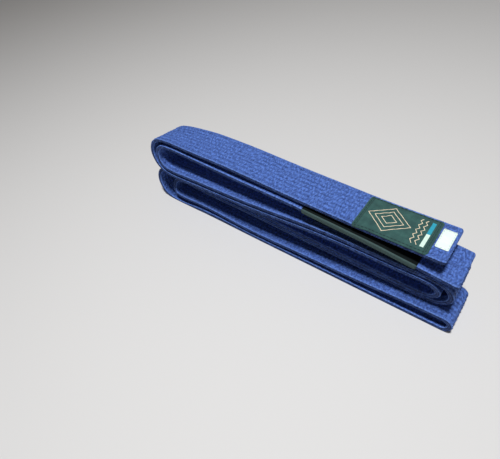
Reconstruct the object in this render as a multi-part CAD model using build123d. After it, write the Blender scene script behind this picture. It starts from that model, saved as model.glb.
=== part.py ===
from build123d import *
import os

# Folded martial arts belt, in millimetres.
#
# The belt is one long quilted cotton strip. It is doubled at its midpoint, so every strand is two
# plies thick, and the doubled strip is folded in a zigzag into four strands that lie in a stack.
# Frame: +X points to the two loose ends, +Y to the back edge, +Z up.
# The origin is on the table, under the label end's tip line and on the top ply's centre line.

os.makedirs("parts", exist_ok=True)

# ---------------------------------------------------------------- driving dimensions
belt_width = 40.0
ply_thickness = 4.0
casing_wall = 0.7
edge_radius = 1.2
tip_corner_radius = 2.5
hem_depth = 4.0
cut_gap = 0.2

core_thickness = 1.1
core_side_gap = 0.3
core_face_gap = 0.1

stitch_rows = 8
stitch_row_pitch = 4.5
thread_width = 0.7
thread_thickness = 0.2
thread_gap = 0.05
outward, inward = -1, 1

label_start, label_end, label_width, label_thickness = -12.5, -74.8, 38.2, 0.7
label_centre_y = -0.2
label_rise = 0.3
label_hem = 2.0
size_label_start, size_label_end, size_label_width, size_label_thickness = -0.9, -11.4, 21.0, 0.4
size_label_centre_y = 2.1

rank_bar_start, rank_bar_end, rank_bar_thickness = -17.0, -122.0, 0.6
rank_bar_gap = 0.3

# Stations along the stack
left_cut_x = -275.0
right_cut_x = -25.0
tail_cut_x = -135.0
half_loop_cut_x = 14.0
label_tip_x = 1.7
rank_tip_x = 16.0

# Sideways place of each ply's centre line; some lie a little askew
label_ply_y = 0.0
rank_ply_y, rank_fold_y = -2.0, -0.4
strand_2_left_y, strand_2_right_y = -4.0, -1.0
strand_3_y = 6.0
strand_4_y = -2.0

# Height of each ply's middle surface, top ply first
label_tip_z, label_mid, label_cut_z = 80.0, (-62.0, 80.5), 83.7
label_root_mid, label_fold_z = (-210.0, 88.2), 89.6
rank_tip_z, rank_mid, rank_cut_z = 61.5, (-52.0, 70.2), 76.6
rank_root_mid, rank_fold_z = (-205.0, 78.5), 81.2
strand_2_high_ends, strand_2_high_mids = (52.2, 57.6), ((-205.0, 53.1), (-70.0, 60.1))
strand_2_low_ends, strand_2_low_mids = (45.2, 51.6), ((-205.0, 46.7), (-70.0, 54.1))
strand_3_high_ends, strand_3_high_mids = (36.0, 26.2), ((-200.0, 33.4), (-110.0, 29.4))
strand_3_low_ends, strand_3_low_mids = (29.0, 21.8), ((-200.0, 27.0), (-110.0, 24.4))
strand_4_high_ends, strand_4_high_mids = (12.0, 15.6), ((-200.0, 9.4), (-90.0, 11.4))
strand_4_low_z = ply_thickness / 2

# How far each fold's middle surface reaches along the stack
fold_1_outer_x, fold_1_inner_x = -324.5, -316.0
fold_2_outer_x, fold_2_inner_x = 14.0, 3.5
fold_3_outer_x, fold_3_inner_x = -336.5, -310.0
half_loop_x = 21.3

# ---------------------------------------------------------------- derived sizes
half_width = belt_width / 2
half_ply = ply_thickness / 2
cavity_half_width = half_width - casing_wall
cavity_half_ply = half_ply - casing_wall
slab_floor_z, slab_roof_z = -10.0, 110.0
slab_left_x, slab_length = -400.0, 500.0
shortest_long_edge = 1.5 * ply_thickness
edge_middle, most_sideways = 0.5, 0.5


def row_places():
    """Sideways place of every stitch row on one face, symmetric about the centre line."""
    first = -(stitch_rows - 1) * stitch_row_pitch / 2
    return [first + row * stitch_row_pitch for row in range(stitch_rows)]


def unit_normal(start, end):
    """Direction across a stretch from start to end, turned a quarter turn anticlockwise."""
    run, rise = end[0] - start[0], end[1] - start[1]
    length = (run * run + rise * rise) ** 0.5
    return (-rise / length, run / length)


class Ply:
    """One length of the strip: a line in the XZ plane, and how it lies sideways."""

    def __init__(self, stations, y_start, y_end=None, thread_side=outward):
        self.stations = stations
        self.y_start = y_start
        self.y_end = y_start if y_end is None else y_end
        self.thread_side = thread_side

    def offset_edges(self, distance):
        """The line moved across itself, towards the strip's inner face."""
        stretches = list(zip(self.stations, self.stations[1:]))
        normals = [unit_normal(start, end) for start, end in stretches]
        before = [normals[0], *normals]
        after = [*normals, normals[-1]]
        points = []
        for (x, z), first, second in zip(self.stations, before, after):
            share = distance / (1 + first[0] * second[0] + first[1] * second[1])
            points.append(Vector(x + share * (first[0] + second[0]), 0, z + share * (first[1] + second[1])))
        return [Edge.make_line(start, end) for start, end in zip(points, points[1:])]

    def side_face(self, low, high):
        """Profile between two offsets from the middle surface, in the XZ plane."""
        first = self.offset_edges(low)
        second = self.offset_edges(high)
        closings = [
            Edge.make_line(first[0] @ 0, second[0] @ 0),
            Edge.make_line(first[-1] @ 1, second[-1] @ 1),
        ]
        return Face(Wire([*first, *second, *closings]))

    def band(self, low, high, y_from, y_to):
        """Solid between two offsets and two edges, measured from the ply's centre line."""
        face = self.side_face(low, high)
        if self.y_start == self.y_end:
            start = self.y_start + y_from
            return Solid.extrude(face.moved(Location((0, start, 0))), Vector(0, y_to - y_from, 0))
        wide = Solid.extrude(face.moved(Location((0, -belt_width, 0))), Vector(0, 2 * belt_width, 0))
        return solid_of(wide.intersect(self.leaning_slab(y_from, y_to)))

    def leaning_slab(self, y_from, y_to):
        """Slab that runs a little sideways along the stack, to carry a ply that lies askew."""
        x_start, x_end = self.stations[0][0], self.stations[-1][0]
        lean = (self.y_end - self.y_start) / (x_end - x_start)
        slab_right_x = slab_left_x + slab_length
        y_left = self.y_start + lean * (slab_left_x - x_start)
        y_right = self.y_start + lean * (slab_right_x - x_start)
        outline = Wire.make_polygon(
            [
                Vector(slab_left_x, y_left + y_from, slab_floor_z),
                Vector(slab_right_x, y_right + y_from, slab_floor_z),
                Vector(slab_right_x, y_right + y_to, slab_floor_z),
                Vector(slab_left_x, y_left + y_to, slab_floor_z),
            ]
        )
        return Solid.extrude(Face(outline), Vector(0, 0, slab_roof_z - slab_floor_z))


class Fold(Ply):
    """A ply that turns back on itself: two short flats joined by half a turn."""

    def __init__(self, x_cut, z_from, z_to, x_bend, y_start, y_end=None, thread_side=outward):
        super().__init__([(x_cut, z_from), (x_cut, z_to)], y_start, y_end, thread_side)
        self.outwards = 1 if x_bend > x_cut else -1
        self.radius = abs(z_to - z_from) / 2
        self.turn_x = x_bend - self.outwards * self.radius
        self.turn_z = (z_from + z_to) / 2
        self.upwards = 1 if z_to > z_from else -1

    def offset_edges(self, distance):
        radius = self.radius - self.outwards * self.upwards * distance
        x_cut = self.stations[0][0]
        z_from = self.turn_z - self.upwards * radius
        z_to = self.turn_z + self.upwards * radius
        start, end = Vector(self.turn_x, 0, z_from), Vector(self.turn_x, 0, z_to)
        bend = Vector(self.turn_x + self.outwards * radius, 0, self.turn_z)
        return [
            Edge.make_line(Vector(x_cut, 0, z_from), start),
            Edge.make_three_point_arc(start, bend, end),
            Edge.make_line(end, Vector(x_cut, 0, z_to)),
        ]

    def leaning_slab(self, y_from, y_to):
        """Slab that leans sideways with height, to carry a fold from one strand to the next."""
        z_start, z_end = self.stations[0][1], self.stations[-1][1]
        lean = (self.y_end - self.y_start) / (z_end - z_start)
        y_floor = self.y_start + lean * (slab_floor_z - z_start)
        y_roof = self.y_start + lean * (slab_roof_z - z_start)
        outline = Wire.make_polygon(
            [
                Vector(slab_left_x, y_floor + y_from, slab_floor_z),
                Vector(slab_left_x, y_floor + y_to, slab_floor_z),
                Vector(slab_left_x, y_roof + y_to, slab_roof_z),
                Vector(slab_left_x, y_roof + y_from, slab_roof_z),
            ]
        )
        return Solid.extrude(Face(outline), Vector(slab_length, 0, 0))


def solid_of(shape):
    """The one solid inside the result of a boolean."""
    solids = shape.solids()
    if len(solids) != 1:
        raise ValueError(f"expected one solid, found {len(solids)}")
    return solids[0]


def strand(ends, mids, y_places, right_end=right_cut_x, rightwards=True, thread_side=outward):
    """A ply between the left folds and a right fold, heading either way along the stack."""
    stations = [(left_cut_x + cut_gap / 2, ends[0]), *mids, (right_end - cut_gap / 2, ends[1])]
    if rightwards:
        return Ply(stations, *y_places, thread_side)
    return Ply(stations[::-1], *y_places[::-1], thread_side)


def left_fold(z_from, x_bend, z_to, y_from, y_to, thread_side=outward):
    """A fold at the stack's left end, turning over from one strand to the strand below."""
    return Fold(left_cut_x - cut_gap / 2, z_from, z_to, x_bend, y_from, y_to, thread_side)


def right_fold(z_from, x_bend, z_to, y_from, y_to):
    """A fold at the stack's right end."""
    return Fold(right_cut_x + cut_gap / 2, z_from, z_to, x_bend, y_from, y_to)


def tail(tip, mid, cut_z, y_place):
    """A loose end, from its tip to the place where it starts to lift."""
    return Ply([tip, mid, (tail_cut_x + cut_gap / 2, cut_z)], y_place)


def tail_root(cut_z, mid, fold_z, y_cut, y_fold):
    """The rest of the top strand, from the lifting place to the first fold."""
    return Ply([(tail_cut_x - cut_gap / 2, cut_z), mid, (left_cut_x + cut_gap / 2, fold_z)], y_cut, y_fold)


# ---------------------------------------------------------------- the sewn strip
def tip_block(ply, tip_x, inset):
    """Plan outline of a loose end, with rounded corners and a margin for the hem."""
    block = Box(slab_length, belt_width - 2 * inset, slab_roof_z)
    corners = block.edges().filter_by(Axis.Z).group_by(Axis.X)[-1]
    rounded = fillet(corners, tip_corner_radius)
    place = (tip_x - inset - slab_length / 2, ply.y_start, slab_roof_z / 2)
    return rounded.moved(Location(place)).solid()


def round_long_edges(body):
    """Soften the strip's four long edges, where the casing cloth turns over the core."""
    lengthwise = [edge for edge in body.edges() if abs((edge % edge_middle).Y) < most_sideways]
    long_edges = [edge for edge in lengthwise if edge.length > shortest_long_edge]
    return solid_of(body.fillet(edge_radius, long_edges))


def casing(ply, tip_x=None):
    """Outer cotton tube of one ply; a loose end is closed by its hem."""
    outer = round_long_edges(ply.band(-half_ply, half_ply, -half_width, half_width))
    cavity = ply.band(-cavity_half_ply, cavity_half_ply, -cavity_half_width, cavity_half_width)
    if tip_x is not None:
        outer = solid_of(outer.intersect(tip_block(ply, tip_x, 0.0)))
        cavity = solid_of(cavity.intersect(tip_block(ply, tip_x - hem_depth, casing_wall)))
    return solid_of(outer.cut(cavity))


def core_layer(ply, side, tip_x=None):
    """One of the two stiff layers inside the casing: side is -1 or 1."""
    near, far = core_face_gap / 2, core_face_gap / 2 + core_thickness
    low, high = sorted((side * near, side * far))
    reach = cavity_half_width - core_side_gap
    layer = ply.band(low, high, -reach, reach)
    if tip_x is not None:
        inset = casing_wall + core_side_gap
        layer = solid_of(layer.intersect(tip_block(ply, tip_x - hem_depth, inset)))
    return layer


def stitching(ply, tip_x=None):
    """Sewing thread on one face of a ply, one length for each row.

    It lies on the outward face, except where that face rests on the table."""
    near = ply.thread_side * (half_ply + thread_gap)
    low, high = sorted((near, near + ply.thread_side * thread_thickness))
    half = thread_width / 2
    threads = []
    for row_y in row_places():
        thread = ply.band(low, high, row_y - half, row_y + half)
        if tip_x is not None:
            thread = solid_of(thread.intersect(tip_block(ply, tip_x - hem_depth / 2, 0.0)))
        threads.append(thread)
    return threads


def patch(ply, x_low, x_high, y_low, y_high, low, high):
    """Piece of a layer that covers only a rectangle, seen from above."""
    layer = ply.band(low, high, y_low - ply.y_start, y_high - ply.y_start)
    block = Box(x_high - x_low, belt_width * 2, slab_roof_z)
    place = ((x_low + x_high) / 2, 0, slab_roof_z / 2)
    return solid_of(layer.intersect(block.moved(Location(place)).solid()))


# ---------------------------------------------------------------- labels and rank bar
def brand_label(ply):
    """Plain woven patch sewn over the whole width of the label end, near its tip."""
    half = label_width / 2
    face = -half_ply - label_rise
    return patch(
        ply, label_end, label_start, label_centre_y - half, label_centre_y + half,
        face - label_thickness, face,
    )


def frame_threads(ply, x_low, x_high, y_low, y_high, inset, face):
    """Four lengths of thread round a patch, a little inside its edge."""
    x_low, x_high, y_low, y_high = x_low + inset, x_high - inset, y_low + inset, y_high - inset
    width = thread_width
    gap = thread_gap
    sides = [
        (x_low, x_high, y_low, y_low + width),
        (x_low, x_high, y_high - width, y_high),
        (x_low, x_low + width, y_low + width + gap, y_high - width - gap),
        (x_high - width, x_high, y_low + width + gap, y_high - width - gap),
    ]
    return [patch(ply, *side, face - thread_thickness, face) for side in sides]


def brand_label_stitching(ply):
    half = label_width / 2
    face = -half_ply - label_rise - label_thickness - thread_gap
    return frame_threads(
        ply, label_end, label_start, label_centre_y - half, label_centre_y + half, label_hem, face
    )


def size_label(ply):
    """Small plain satin tag beside the woven patch."""
    half = size_label_width / 2
    face = -half_ply - label_rise
    return patch(
        ply, size_label_end, size_label_start, size_label_centre_y - half,
        size_label_centre_y + half, face - size_label_thickness, face,
    )


def size_label_stitching(ply):
    half = size_label_width / 2
    face = -half_ply - label_rise - size_label_thickness - thread_gap
    return frame_threads(
        ply, size_label_end, size_label_start, size_label_centre_y - half,
        size_label_centre_y + half, thread_width, face,
    )


def rank_bar(ply):
    """Dark cloth sleeve wrapped round the rank end."""
    inner_face = half_ply + rank_bar_gap
    inner_edge = half_width + rank_bar_gap
    outer_face = inner_face + rank_bar_thickness
    outer_edge = inner_edge + rank_bar_thickness
    y_low, y_high = ply.y_start - outer_edge, ply.y_start + outer_edge
    outer = patch(ply, rank_bar_end, rank_bar_start, y_low, y_high, -outer_face, outer_face)
    y_low, y_high = ply.y_start - inner_edge, ply.y_start + inner_edge
    hole = ply.band(-inner_face, inner_face, -inner_edge, inner_edge)
    return solid_of(outer.cut(hole))


def rank_bar_stitching(ply):
    """Two rows of thread across each face of the sleeve, near its ends."""
    outer_face = half_ply + rank_bar_gap + rank_bar_thickness + thread_gap
    reach = half_width - edge_radius
    threads = []
    for x_row in (rank_bar_start - label_hem, rank_bar_end + label_hem):
        for side in (-1, 1):
            low, high = sorted((side * outer_face, side * (outer_face + thread_thickness)))
            y_low, y_high = ply.y_start - reach, ply.y_start + reach
            half = thread_width / 2
            threads.append(patch(ply, x_row - half, x_row + half, y_low, y_high, low, high))
    return threads


# ---------------------------------------------------------------- the two chains of plies
strand_2_ys = (strand_2_left_y, strand_2_right_y)
strand_3_ys = (strand_3_y, strand_3_y)
strand_4_ys = (strand_4_y, strand_4_y)
strand_2_low = strand(strand_2_low_ends, strand_2_low_mids, strand_2_ys)
strand_2_high = strand(strand_2_high_ends, strand_2_high_mids, strand_2_ys)
strand_3_high = strand(strand_3_high_ends, strand_3_high_mids, strand_3_ys, rightwards=False)
strand_3_low = strand(strand_3_low_ends, strand_3_low_mids, strand_3_ys, rightwards=False)
strand_4_low_ends = (strand_4_low_z, strand_4_low_z)
strand_4_low = strand(strand_4_low_ends, (), strand_4_ys, half_loop_cut_x, thread_side=inward)
strand_4_high = strand(strand_4_high_ends, strand_4_high_mids, strand_4_ys, half_loop_cut_x)

label_tail = tail((label_tip_x, label_tip_z), label_mid, label_cut_z, label_ply_y)
rank_tail = tail((rank_tip_x, rank_tip_z), rank_mid, rank_cut_z, rank_ply_y)
label_root = tail_root(label_cut_z, label_root_mid, label_fold_z, label_ply_y, label_ply_y)
rank_root = tail_root(rank_cut_z, rank_root_mid, rank_fold_z, rank_ply_y, rank_fold_y)

fold_1_plies = [
    left_fold(label_fold_z, fold_1_outer_x, strand_2_low_ends[0], label_ply_y, strand_2_left_y),
    left_fold(rank_fold_z, fold_1_inner_x, strand_2_high_ends[0], rank_fold_y, strand_2_left_y),
]
fold_2_plies = [
    right_fold(strand_2_high_ends[1], fold_2_outer_x, strand_3_low_ends[1], strand_2_right_y, strand_3_y),
    right_fold(strand_2_low_ends[1], fold_2_inner_x, strand_3_high_ends[1], strand_2_right_y, strand_3_y),
]
fold_3_plies = [
    left_fold(strand_3_high_ends[0], fold_3_outer_x, strand_4_low_z, strand_3_y, strand_4_y, inward),
    left_fold(strand_3_low_ends[0], fold_3_inner_x, strand_4_high_ends[0], strand_3_y, strand_4_y),
]
half_loop = Fold(
    half_loop_cut_x + cut_gap / 2, strand_4_low_z, strand_4_high_ends[1], half_loop_x, strand_4_y,
    thread_side=inward,
)

# Each section of the strip and its plies; a loose end also has the x of its tip
sections = {
    "label_tail": [(label_tail, label_tip_x)],
    "rank_tail": [(rank_tail, rank_tip_x)],
    "strand_1": [(label_root, None), (rank_root, None)],
    "fold_1": [(ply, None) for ply in fold_1_plies],
    "strand_2": [(strand_2_high, None), (strand_2_low, None)],
    "fold_2": [(ply, None) for ply in fold_2_plies],
    "strand_3": [(strand_3_high, None), (strand_3_low, None)],
    "fold_3": [(ply, None) for ply in fold_3_plies],
    "strand_4": [(strand_4_high, None), (strand_4_low, None)],
    "half_loop": [(half_loop, None)],
}

# ---------------------------------------------------------------- nodes
nodes = {}
for name, plies in sections.items():
    nodes[name + "_casing"] = [casing(ply, tip_x) for ply, tip_x in plies]
    nodes[name + "_core_outer"] = [core_layer(ply, -1, tip_x) for ply, tip_x in plies]
    nodes[name + "_core_inner"] = [core_layer(ply, 1, tip_x) for ply, tip_x in plies]
    nodes[name + "_stitching"] = [thread for ply, tip_x in plies for thread in stitching(ply, tip_x)]

nodes["brand_label"] = [brand_label(label_tail)]
nodes["brand_label_stitching"] = brand_label_stitching(label_tail)
nodes["size_label"] = [size_label(label_tail)]
nodes["size_label_stitching"] = size_label_stitching(label_tail)
nodes["rank_bar"] = [rank_bar(rank_tail)]
nodes["rank_bar_stitching"] = rank_bar_stitching(rank_tail)

for name, solids in nodes.items():
    shape = solids[0] if len(solids) == 1 else Compound(children=solids)
    export_step(shape, f"parts/{name}.step")
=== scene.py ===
import math

import bpy
import numpy as np
from mathutils import Matrix, Vector
from mathutils.bvhtree import BVHTree


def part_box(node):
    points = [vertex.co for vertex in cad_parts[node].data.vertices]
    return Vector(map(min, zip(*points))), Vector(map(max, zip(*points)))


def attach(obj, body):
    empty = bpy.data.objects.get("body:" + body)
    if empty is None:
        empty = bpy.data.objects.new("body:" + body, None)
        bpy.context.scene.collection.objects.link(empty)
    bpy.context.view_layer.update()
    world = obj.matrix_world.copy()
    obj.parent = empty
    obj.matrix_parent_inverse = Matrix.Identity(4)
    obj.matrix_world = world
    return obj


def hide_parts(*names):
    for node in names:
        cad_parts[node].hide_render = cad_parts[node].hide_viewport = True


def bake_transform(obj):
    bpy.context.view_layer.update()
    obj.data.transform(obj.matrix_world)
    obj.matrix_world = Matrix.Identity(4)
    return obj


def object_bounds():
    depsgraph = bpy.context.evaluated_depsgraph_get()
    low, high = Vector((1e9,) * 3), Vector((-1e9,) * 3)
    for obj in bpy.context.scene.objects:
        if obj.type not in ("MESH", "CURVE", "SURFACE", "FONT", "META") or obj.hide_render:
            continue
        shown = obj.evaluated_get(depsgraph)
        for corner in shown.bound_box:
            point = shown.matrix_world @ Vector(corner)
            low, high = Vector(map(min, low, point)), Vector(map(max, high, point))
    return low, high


# Looks of the folded belt. Lengths are in metres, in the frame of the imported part.
#
# The belt is one strip. Its centre line runs from the label end's tip down through the stack to
# the half loop at the bottom, and back up inside the folds to the rank end's tip. Everything sewn
# on the strip is placed in strip coordinates: s along it, v across it, h above its middle surface.

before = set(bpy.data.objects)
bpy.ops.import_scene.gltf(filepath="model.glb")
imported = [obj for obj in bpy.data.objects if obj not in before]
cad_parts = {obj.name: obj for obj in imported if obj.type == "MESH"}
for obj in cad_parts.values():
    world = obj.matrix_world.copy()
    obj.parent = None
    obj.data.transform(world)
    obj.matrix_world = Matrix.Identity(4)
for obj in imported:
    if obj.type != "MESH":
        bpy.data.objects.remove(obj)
cad_low, cad_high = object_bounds()

MM = 0.001
FULL_TURN = 2 * math.pi
noise_source = np.random.default_rng(11)

# -------------------- sizes of the strip
HALF_WIDTH = 20.0 * MM
HALF_PLY = 1.95 * MM
STITCH_PITCH = 4.5 * MM
ROW_PITCH = 4.5 * MM
ROWS = 8
RINGS_PER_STITCH = 4
ACROSS_STEP = 0.75 * MM
FACE_REACH = 18.75 * MM

GROOVE_DEPTH = 0.20 * MM
GROOVE_WIDTH = 0.85 * MM
HOLE_DEPTH = 0.75 * MM
HOLE_LENGTH = 1.0 * MM
PUFF = 0.22 * MM
PUFF_WIDTH = 1.3 * MM
RIPPLE = 0.24 * MM
HEM_LENGTH = 7.0 * MM
HEM_RISE = 0.30 * MM
EDGE_SEAM = 17.6 * MM
EDGE_SEAM_DEPTH = 0.35 * MM
EDGE_SEAM_WIDTH = 0.8 * MM
CORNER_RADIUS = 2.6 * MM

# Side of the strip, from its upper face round to its lower face: place across, height
UPPER_SIDE = [(19.40, 1.78), (19.85, 1.42), (19.50, 0.98), (19.85, 0.50)]
SIDE_PROFILE = [*UPPER_SIDE, (19.98, 0.0), *[(v, -h) for v, h in UPPER_SIDE[::-1]]]
# Painted shade on each point of the side profile, so that the sides look shaded, lightest at the middle
# rib (1 is as dark as the bottom of a needle hole); and how much each point is painted paler, partly wear
# and partly a painted highlight on the edges and rib that catch the light
SIDE_SHADE = [0.0, 0.5, 1.9, 1.9, 1.2, 1.9, 1.9, 0.5, 0.0]
SIDE_WEAR_AND_HIGHLIGHT = [1.0, 0.9, 0.0, 0.2, 0.5, 0.2, 0.0, 0.9, 1.0]
# Rings near a tip: distance from the tip
TIP_RINGS = [0.0, 0.06, 0.22, 0.5, 0.9, 1.4, 2.0, 2.7]
BLUNT_END = 0.97

# Length, width and thickness of a quilting stitch and of a label's or the sleeve's stitch
QUILTING_STITCH = (3.2 * MM, 0.62 * MM, 0.40 * MM)
LABEL_STITCH = (2.3 * MM, 0.42 * MM, 0.30 * MM)
LABEL_STITCH_PITCH = 3.1 * MM
STITCH_SINK = 0.12 * MM


# -------------------- reading the frame
# Lines are shot at the CAD's plies from PROBE_START away, a little off the centre line, where a
# ply's cross-section has four walls: the casing's outside and inside, on either face
PROBE_OFFSET = 0.3 * MM
PROBE_START = 1.0
SAME_SURFACE = 0.01 * MM
PROBE_NUDGE = 0.002 * MM
WALLS_PER_PLY = 4
trees = {}


def crossings(node, start, direction):
    """Places along a line where it meets a CAD node's surfaces, as distances from start."""
    if node not in trees:
        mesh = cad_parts[node].data
        corners = [vertex.co.copy() for vertex in mesh.vertices]
        trees[node] = BVHTree.FromPolygons(corners, [tuple(p.vertices) for p in mesh.polygons])
    direction = Vector(direction)
    travelled = 0.0
    found = []
    while True:
        hit = trees[node].ray_cast(Vector(start) + direction * travelled, direction)
        if hit[0] is None:
            return found
        travelled += hit[3]
        if not found or travelled - found[-1] > SAME_SURFACE:
            found.append(travelled)
        travelled += PROBE_NUDGE


def middle_y(node):
    """Sideways place where a node is probed."""
    low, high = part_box(node)
    return (low.y + high.y) / 2 + PROBE_OFFSET


def in_plies(found):
    """Middle of each ply, from the four wall surfaces that a line meets in it."""
    groups = [found[k : k + WALLS_PER_PLY] for k in range(0, len(found), WALLS_PER_PLY)]
    return [sum(group) / len(group) for group in groups]


def ply_point(node, ply, x):
    """Middle of a casing's ply at x; ply 0 is the lowest."""
    heights = in_plies(crossings(node, (x, middle_y(node), -PROBE_START), (0, 0, 1)))
    z = heights[ply] - PROBE_START
    sides = crossings(node, (x, -PROBE_START, z), (0, 1, 0))
    return Vector((x, (sides[0] + sides[-1]) / 2 - PROBE_START, z))


# Shares of a strand's length where its plies are probed
STRAND_STATIONS = (0.004, 0.26, 0.5, 0.74, 0.996)
# Plies of a strand from the table upwards, and of a fold from the outside inwards
LOWER, UPPER = 0, 1
OUTER, INNER = 0, 1


def strand_points(node, ply, rightwards):
    """Points along one ply of a strand."""
    low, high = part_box(node)
    points = [ply_point(node, ply, low.x + share * (high.x - low.x)) for share in STRAND_STATIONS]
    return points if rightwards else points[::-1]


# Angles round a fold's turn where it gets points, and the length from which its flats get one each
TURN_ANGLES = (65, 35, 0, -35, -65)
STRAIGHT_GAP = 8.0 * MM
# The third fold's outer ply bulges upwards
FOLD_RISE = {"fold_3_casing": 3.5 * MM}


def fold_points(start, node, end, ply):
    """Points round a fold between the strand points start and end; ply 0 is the outer one."""
    low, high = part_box(node)
    side = -1 if low.x < start.x - (high.x - low.x) / 2 else 1
    middle_z = (start.z + end.z) / 2
    found = crossings(node, (side * PROBE_START, middle_y(node), middle_z), (-side, 0, 0))
    reach = side * (PROBE_START - in_plies(found)[ply])
    radius = abs(start.z - end.z) / 2
    upwards = 1 if end.z > start.z else -1
    rise = FOLD_RISE.get(node, 0.0) if ply == OUTER else 0.0
    turn_x = reach - side * radius
    angles = [90] * (abs(turn_x - start.x) > STRAIGHT_GAP)
    angles += TURN_ANGLES
    angles += [-90] * (abs(turn_x - end.x) > STRAIGHT_GAP)
    points = []
    for angle in angles:
        turn = math.radians(angle)
        share = (1 - math.sin(turn)) / 2
        x = turn_x + side * radius * math.cos(turn)
        z = middle_z - upwards * radius * math.sin(turn) + rise * math.cos(turn)
        points.append(Vector((x, start.y + share * (end.y - start.y), z)))
    return points


# Shares of a loose end's length where it is probed, from its tip
TAIL_STATIONS = (0.045, 0.25, 0.5, 0.75, 0.99)


def tail_points(node):
    """Points along a loose end, from its tip."""
    low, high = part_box(node)
    inner = [ply_point(node, 0, high.x - share * (high.x - low.x)) for share in TAIL_STATIONS]
    slope = (inner[0] - inner[1]) / (inner[0].x - inner[1].x)
    tip = inner[0] + slope * (high.x - inner[0].x)
    return [tip, *inner]


FOLDS = ("fold_1_casing", "fold_2_casing", "fold_3_casing")
STRANDS = ("strand_2_casing", "strand_3_casing", "strand_4_casing")
RIGHTWARDS = (True, False, True)


def chain(tail, root_ply, plies, fold_plies):
    """Points of one half of the belt, from its tip to the half loop."""
    points = tail_points(tail)
    points += strand_points("strand_1_casing", root_ply, rightwards=False)[1:]
    for fold, strand, ply, layer, rightwards in zip(FOLDS, STRANDS, plies, fold_plies, RIGHTWARDS):
        onward = strand_points(strand, ply, rightwards)
        points += fold_points(points[-1], fold, onward[0], layer)
        points += onward
    return points


label_half = chain("label_tail_casing", UPPER, (LOWER, UPPER, LOWER), (OUTER, INNER, OUTER))
rank_half = chain("rank_tail_casing", LOWER, (UPPER, LOWER, UPPER), (INNER, OUTER, INNER))
half_loop = fold_points(label_half[-1], "half_loop_casing", rank_half[-1], OUTER)
path = label_half + half_loop + rank_half[::-1]


# -------------------- the strip's centre line
def spline(knots, values, at):
    """Natural cubic through values at knots, read at the given places."""
    gaps = np.diff(knots)
    count = len(knots)
    system = np.zeros((count, count))
    right = np.zeros_like(values)
    system[0, 0] = system[-1, -1] = 1
    for k in range(1, count - 1):
        system[k, k - 1 : k + 2] = gaps[k - 1], 2 * (gaps[k - 1] + gaps[k]), gaps[k]
        right[k] = 6 * ((values[k + 1] - values[k]) / gaps[k] - (values[k] - values[k - 1]) / gaps[k - 1])
    bend = np.linalg.solve(system, right)
    k = np.clip(np.searchsorted(knots, at, side="right") - 1, 0, count - 2)
    gap = gaps[k][:, None]
    after = (at - knots[k])[:, None]
    before = gap - after
    curve = (bend[k] * before**3 + bend[k + 1] * after**3) / (6 * gap)
    line = (values[k] / gap - bend[k] * gap / 6) * before
    return curve + line + (values[k + 1] / gap - bend[k + 1] * gap / 6) * after


def distances_along(points):
    """Distance from the first point to each of them, along the line they make."""
    steps = np.linalg.norm(np.diff(points, axis=0), axis=1)
    return np.concatenate([[0], np.cumsum(steps)])


FINE_STEPS = 30000

control = np.array([list(point) for point in path])
knots = distances_along(control)
fine = spline(knots, control, np.linspace(0, knots[-1], FINE_STEPS))
fine_s = distances_along(fine)
strip_length = fine_s[-1]
fine_x = fine[:, 0]
# Distances where the strip turns back, and its two tips
turning = np.where(np.diff(np.sign(np.diff(fine_x))) != 0)[0] + 1
bends = [0.0, *fine_s[turning], strip_length]


def s_of(x, tail):
    """Distance along the strip at x on one of the loose ends."""
    inside = fine_s < bends[1] if tail == "label" else fine_s > bends[-2]
    places, distances = fine_x[inside], fine_s[inside]
    order = np.argsort(places)
    return float(np.interp(x, places[order], distances[order]))


SLOPE_STEP = 0.75 * MM


def line_at(s):
    """Points of the centre line at distances s along the strip."""
    return np.stack([np.interp(s, fine_s, fine[:, axis]) for axis in range(3)], axis=-1)


def centre(s):
    """Middle surface and its normal at distances s along the strip."""
    run = (line_at(s + SLOPE_STEP) - line_at(s - SLOPE_STEP))[..., [0, 2]]
    run /= np.linalg.norm(run, axis=-1, keepdims=True)
    normals = np.stack([run[..., 1], np.zeros_like(run[..., 0]), -run[..., 0]], axis=-1)
    return line_at(s), normals


def place(s, v, h):
    """Points in the frame for strip coordinates: along, across and above the middle surface."""
    places, normals = centre(np.asarray(s, float))
    points = places + normals * np.asarray(h)[..., None]
    points[..., 1] += v
    return pressed(twisted(points))


# Cloth lower than this is pressed flat on the table
PRESS = 0.4 * MM


def pressed(points):
    """Points kept above the table's top."""
    z = points[..., 2]
    points[..., 2] = np.where(z < PRESS, PRESS * np.exp(np.minimum(z / PRESS - 1, 0)), z)
    return points


# The top fold has slumped: its back edge hangs lower than its front edge
SLUMP = 7.5 * MM
SLUMP_X = (-0.245, -0.325)
SLUMP_Z = (0.046, 0.084)


def twisted(points):
    """Points lowered towards the back edge of the top fold."""
    x, y, z = points[..., 0], points[..., 1], points[..., 2]
    share = smooth((x - SLUMP_X[0]) / (SLUMP_X[1] - SLUMP_X[0]))
    share = share * smooth((z - SLUMP_Z[0]) / (SLUMP_Z[1] - SLUMP_Z[0]))
    share = share * np.clip((y + HALF_WIDTH) / (2 * HALF_WIDTH), 0, 1)
    points[..., 2] -= SLUMP * share
    return points


def smooth(share):
    """From 0 to 1, level at both ends."""
    share = np.clip(share, 0, 1)
    return share * share * (3 - 2 * share)


# -------------------- the quilted surface
stitch_count = round(strip_length / STITCH_PITCH)
pitch = strip_length / stitch_count

WAVES = 9
WAVE_LENGTHS = (3.8 * MM, 12 * MM)
WAVE_SLANT = 0.9
wave_lengths = noise_source.uniform(*WAVE_LENGTHS, WAVES)
wave_slants = noise_source.uniform(-WAVE_SLANT, WAVE_SLANT, WAVES)
wave_phases = noise_source.uniform(0, FULL_TURN, WAVES)


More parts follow.
